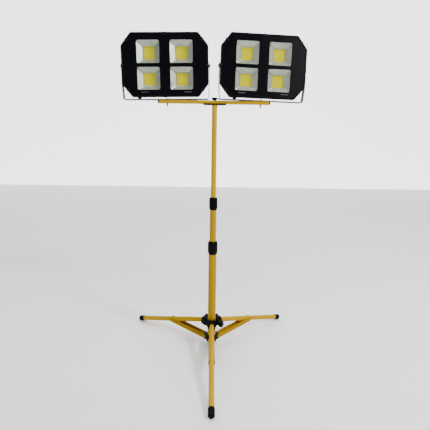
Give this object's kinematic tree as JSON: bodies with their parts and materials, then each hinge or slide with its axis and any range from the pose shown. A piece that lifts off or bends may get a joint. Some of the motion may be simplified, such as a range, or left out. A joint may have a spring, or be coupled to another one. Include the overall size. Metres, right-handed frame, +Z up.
{
  "type": "work light",
  "caption": "Twin-head LED work light: octagonal floodlights in tilting yokes on a crossbar, on a telescopic folding tripod.",
  "frame": {"origin": "on the floor, at the middle of the bounding box; the mast axis stands 94.2 mm behind it (+Y) and 4.0 mm to its right (+X)", "axes": "+Z up along the mast, +X to the right along the crossbar, the lamps face -Y"},
  "size_m": [0.7526, 0.6524, 1.335],
  "materials": {
    "yellow_paint": "satin powder coat",
    "black_plastic": "moulded, fine texture",
    "black_cast": "black powder coat on cast aluminium",
    "black_steel": "satin",
    "rubber": "matte",
    "zinc": "zinc plated",
    "dark_bolt": "blackened",
    "silver": "frosted reflector",
    "led": "phosphor",
    "glass": "clear tempered",
    "white_plastic": "moulded"
  },
  "bodies": {
    "base": {"lower_tube": "yellow_paint", "lock_sleeve_lower": "white_plastic", "brace_collar": "black_plastic"},
    "lower_lock": {"twist_lock_lower": "black_plastic"},
    "mid_mast": {"mid_tube": "yellow_paint", "lock_sleeve_upper": "white_plastic"},
    "upper_lock": {"twist_lock_upper": "black_plastic"},
    "top_mast": {"top_tube": "yellow_paint", "mast_top_plug": "zinc", "crossbar_saddle": "black_steel"},
    "bar": {"crossbar": "yellow_paint", "crossbar_cap_left": "black_plastic", "crossbar_cap_right": "black_plastic", "yoke_bolt_left": "dark_bolt", "yoke_bolt_right": "dark_bolt", "bar_nut_left": "zinc", "bar_nut_right": "zinc"},
    "bar_knob": {"crossbar_knob": "black_plastic"},
    "hub": {"leg_hub": "black_plastic", "leg_pin_front": "dark_bolt", "leg_pin_right": "dark_bolt", "leg_pin_left": "dark_bolt"},
    "hub_knob": {"hub_lock_knob": "black_plastic"},
    "leg_front": {"leg_front": "yellow_paint", "foot_cap_front": "rubber", "brace_rivet_front": "yellow_paint"},
    "leg_right": {"leg_right": "yellow_paint", "foot_cap_right": "rubber", "brace_rivet_right": "yellow_paint"},
    "leg_left": {"leg_left": "yellow_paint", "foot_cap_left": "rubber", "brace_rivet_left": "yellow_paint"},
    "brace_front": {"brace_front": "yellow_paint"},
    "brace_right": {"brace_right": "yellow_paint"},
    "brace_left": {"brace_left": "yellow_paint"},
    "yoke_left": {"yoke_left": "zinc"},
    "head_left": {"housing_left": "black_cast", "front_frame_left": "black_cast", "glass_left": "glass", "gasket_left": "rubber", "reflector_left": "silver", "led_board_left": "led", "driver_left": "white_plastic", "cable_gland_left": "black_plastic", "pivot_bolt_left_outer": "dark_bolt", "pivot_bolt_left_inner": "dark_bolt"},
    "yoke_right": {"yoke_right": "zinc"},
    "head_right": {"housing_right": "black_cast", "front_frame_right": "black_cast", "glass_right": "glass", "gasket_right": "rubber", "reflector_right": "silver", "led_board_right": "led", "driver_right": "white_plastic", "cable_gland_right": "black_plastic", "pivot_bolt_right_outer": "dark_bolt", "pivot_bolt_right_inner": "dark_bolt"}
  },
  "joints": [
    {"name": "lower_lock_twist", "type": "hinge", "parent": "base", "child": "lower_lock", "pos_m": [0.004, 0.09422, 0.455], "axis": [0, 0, 1], "range_deg": [0, 120]},
    {"name": "mid_mast_slide", "type": "slide", "parent": "base", "child": "mid_mast", "axis": [0, 0, 1], "range_m": [-0.13, 0.17]},
    {"name": "upper_lock_twist", "type": "hinge", "parent": "mid_mast", "child": "upper_lock", "pos_m": [0.004, 0.09422, 0.6495], "axis": [0, 0, 1], "range_deg": [0, 120]},
    {"name": "top_mast_slide", "type": "slide", "parent": "mid_mast", "child": "top_mast", "axis": [0, 0, 1], "range_m": [-0.378, 0.03]},
    {"name": "crossbar_swivel", "type": "hinge", "parent": "top_mast", "child": "bar", "pos_m": [0.004, 0.09422, 1.07], "axis": [0, 0, 1], "continuous": true},
    {"name": "crossbar_knob_turn", "type": "hinge", "parent": "bar", "child": "bar_knob", "pos_m": [0.004, 0.09422, 1.082], "axis": [0, 0, 1], "continuous": true},
    {"name": "hub_slide", "type": "slide", "parent": "base", "child": "hub", "axis": [0, 0, 1], "range_m": [0, 0.28744]},
    {"name": "hub_knob_turn", "type": "hinge", "parent": "hub", "child": "hub_knob", "pos_m": [0.04373, 0.07309, 0.10817], "axis": [0.8829, -0.4695, 0], "continuous": true},
    {"name": "leg_front_fold", "type": "hinge", "parent": "hub", "child": "leg_front", "pos_m": [0.004, 0.06022, 0.10817], "axis": [1, 0, 0], "range_deg": [0, 60.66]},
    {"name": "brace_front_fold", "type": "hinge", "parent": "leg_front", "child": "brace_front", "pos_m": [0.004, -0.12385, 0.06108], "axis": [-1, 0, 0], "range_deg": [0, 126.51]},
    {"name": "leg_right_fold", "type": "hinge", "parent": "hub", "child": "leg_right", "pos_m": [0.03274, 0.11239, 0.10817], "axis": [-0.5344, 0.8453, 0], "range_deg": [0, 60.66]},
    {"name": "brace_right_fold", "type": "hinge", "parent": "leg_right", "child": "brace_right", "pos_m": [0.18832, 0.21075, 0.06108], "axis": [0.5344, -0.8453, 0], "range_deg": [0, 126.51]},
    {"name": "leg_left_fold", "type": "hinge", "parent": "hub", "child": "leg_left", "pos_m": [-0.02585, 0.1105, 0.10817], "axis": [-0.4787, -0.878, 0], "range_deg": [0, 60.66]},
    {"name": "brace_left_fold", "type": "hinge", "parent": "leg_left", "child": "brace_left", "pos_m": [-0.18747, 0.19861, 0.06108], "axis": [0.4787, 0.878, 0], "range_deg": [0, 126.51]},
    {"name": "yoke_left_pan", "type": "hinge", "parent": "bar", "child": "yoke_left", "pos_m": [-0.189, 0.09422, 1.079], "axis": [0, 0, 1], "range_deg": [-90, 90]},
    {"name": "head_left_tilt", "type": "hinge", "parent": "yoke_left", "child": "head_left", "pos_m": [-0.19576, 0.09422, 1.20889], "axis": [0.9998, 0, 0.0209], "range_deg": [-90, 90]},
    {"name": "yoke_right_pan", "type": "hinge", "parent": "bar", "child": "yoke_right", "pos_m": [0.192, 0.09422, 1.079], "axis": [0, 0, 1], "range_deg": [-90, 90]},
    {"name": "head_right_tilt", "type": "hinge", "parent": "yoke_right", "child": "head_right", "pos_m": [0.19575, 0.09442, 1.20895], "axis": [0.9984, 0.0523, -0.0209], "range_deg": [-90, 90]}
  ],
  "couplings": [
    {"joint": "leg_front_fold", "follows": "hub_slide", "rad_per_m": 3.6827},
    {"joint": "brace_front_fold", "follows": "hub_slide", "rad_per_m": 7.6803},
    {"joint": "leg_right_fold", "follows": "hub_slide", "rad_per_m": 3.6827},
    {"joint": "brace_right_fold", "follows": "hub_slide", "rad_per_m": 7.6803},
    {"joint": "leg_left_fold", "follows": "hub_slide", "rad_per_m": 3.6827},
    {"joint": "brace_left_fold", "follows": "hub_slide", "rad_per_m": 7.6803}
  ]
}
